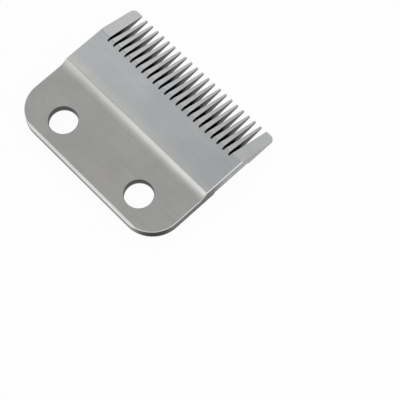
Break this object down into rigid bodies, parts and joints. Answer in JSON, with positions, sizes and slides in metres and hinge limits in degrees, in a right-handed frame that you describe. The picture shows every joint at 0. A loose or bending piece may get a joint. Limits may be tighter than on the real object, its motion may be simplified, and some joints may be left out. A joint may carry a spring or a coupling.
{
  "type": "hair clipper blade",
  "caption": "Flat steel fixed blade for a hair clipper: thin rear plate with screw holes, a ground step up to a thicker front, and a row of fine tapered teeth between wide end teeth.",
  "frame": {"origin": "midway between the axes of the two screw holes, on the inner face", "axes": "+X along the tooth row, +Y towards the tooth tips, +Z out of the outer face, away from the moving blade"},
  "size_m": [0.0466, 0.038, 0.0038],
  "materials": {
    "ground_steel": "fine ground, satin"
  },
  "bodies": {
    "root": {"fixed_blade": "ground_steel"}
  },
  "joints": []
}
